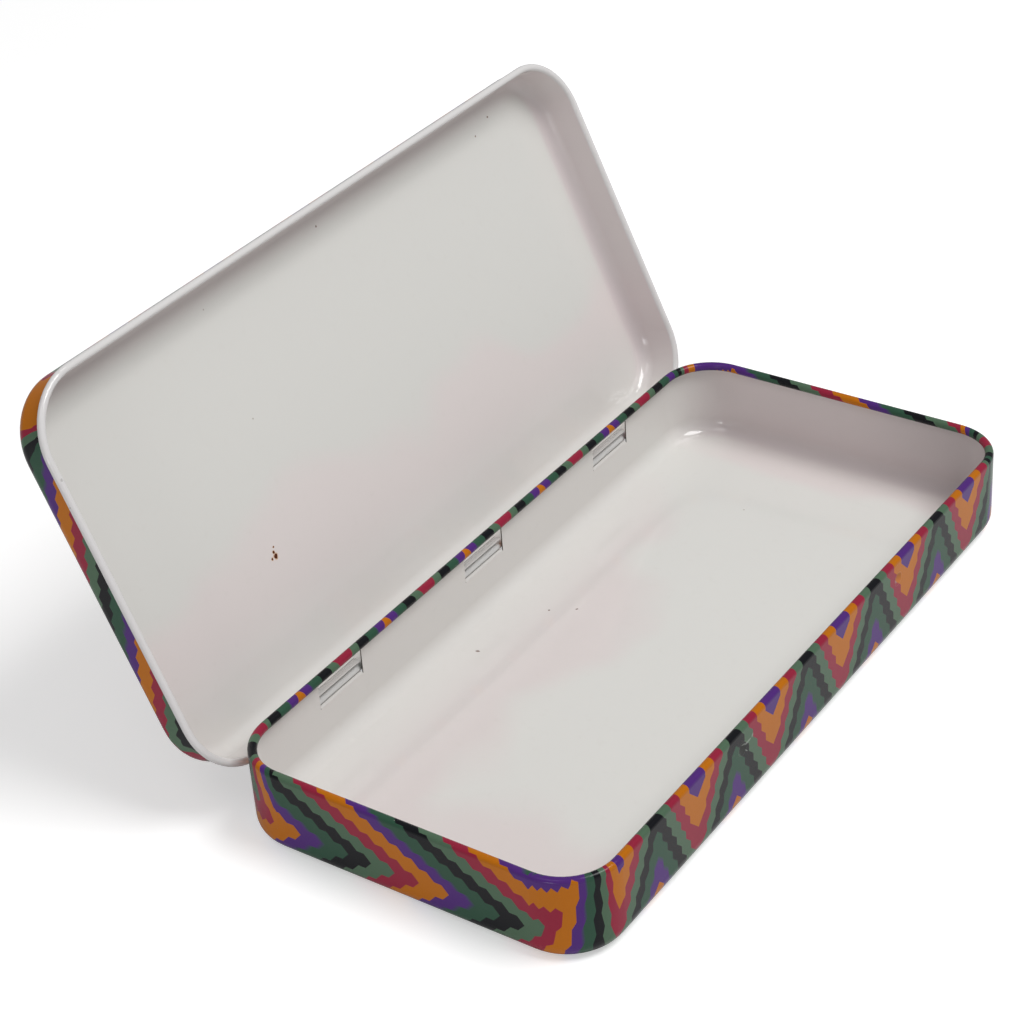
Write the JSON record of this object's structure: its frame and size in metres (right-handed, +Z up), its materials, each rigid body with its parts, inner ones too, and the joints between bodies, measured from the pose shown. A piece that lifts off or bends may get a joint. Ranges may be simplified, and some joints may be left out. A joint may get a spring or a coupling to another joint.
{
  "type": "colored pencil tin",
  "caption": "Long shallow tinplate box with rounded corners: a tray with an inward rolled rim, and a slip-over lid whose beaded edge swings in three tongues bent out of the back wall.",
  "frame": {"origin": "centre of the base's flat underside, which rests on a surface", "axes": "+X along the tin, +Y from its front to its hinged back, +Z up"},
  "size_m": [0.2044, 0.143, 0.1019],
  "materials": {
    "printed_tinplate": "gloss lithographed pattern outside, white lacquer inside",
    "white_lacquer": "gloss"
  },
  "bodies": {
    "base": {"base_tray": "printed_tinplate", "base_rim_curl": "printed_tinplate", "hinge_tongue_left": "white_lacquer", "hinge_tongue_middle": "white_lacquer", "hinge_tongue_right": "white_lacquer"},
    "lid": {"lid_tray": "white_lacquer", "lid_rim_bead": "white_lacquer"}
  },
  "joints": [
    {"name": "lid_hinge", "type": "hinge", "parent": "base", "child": "lid", "pos_m": [0, 0.04835, 0.01265], "axis": [1, 0, 0], "range_deg": [0, 114]}
  ]
}
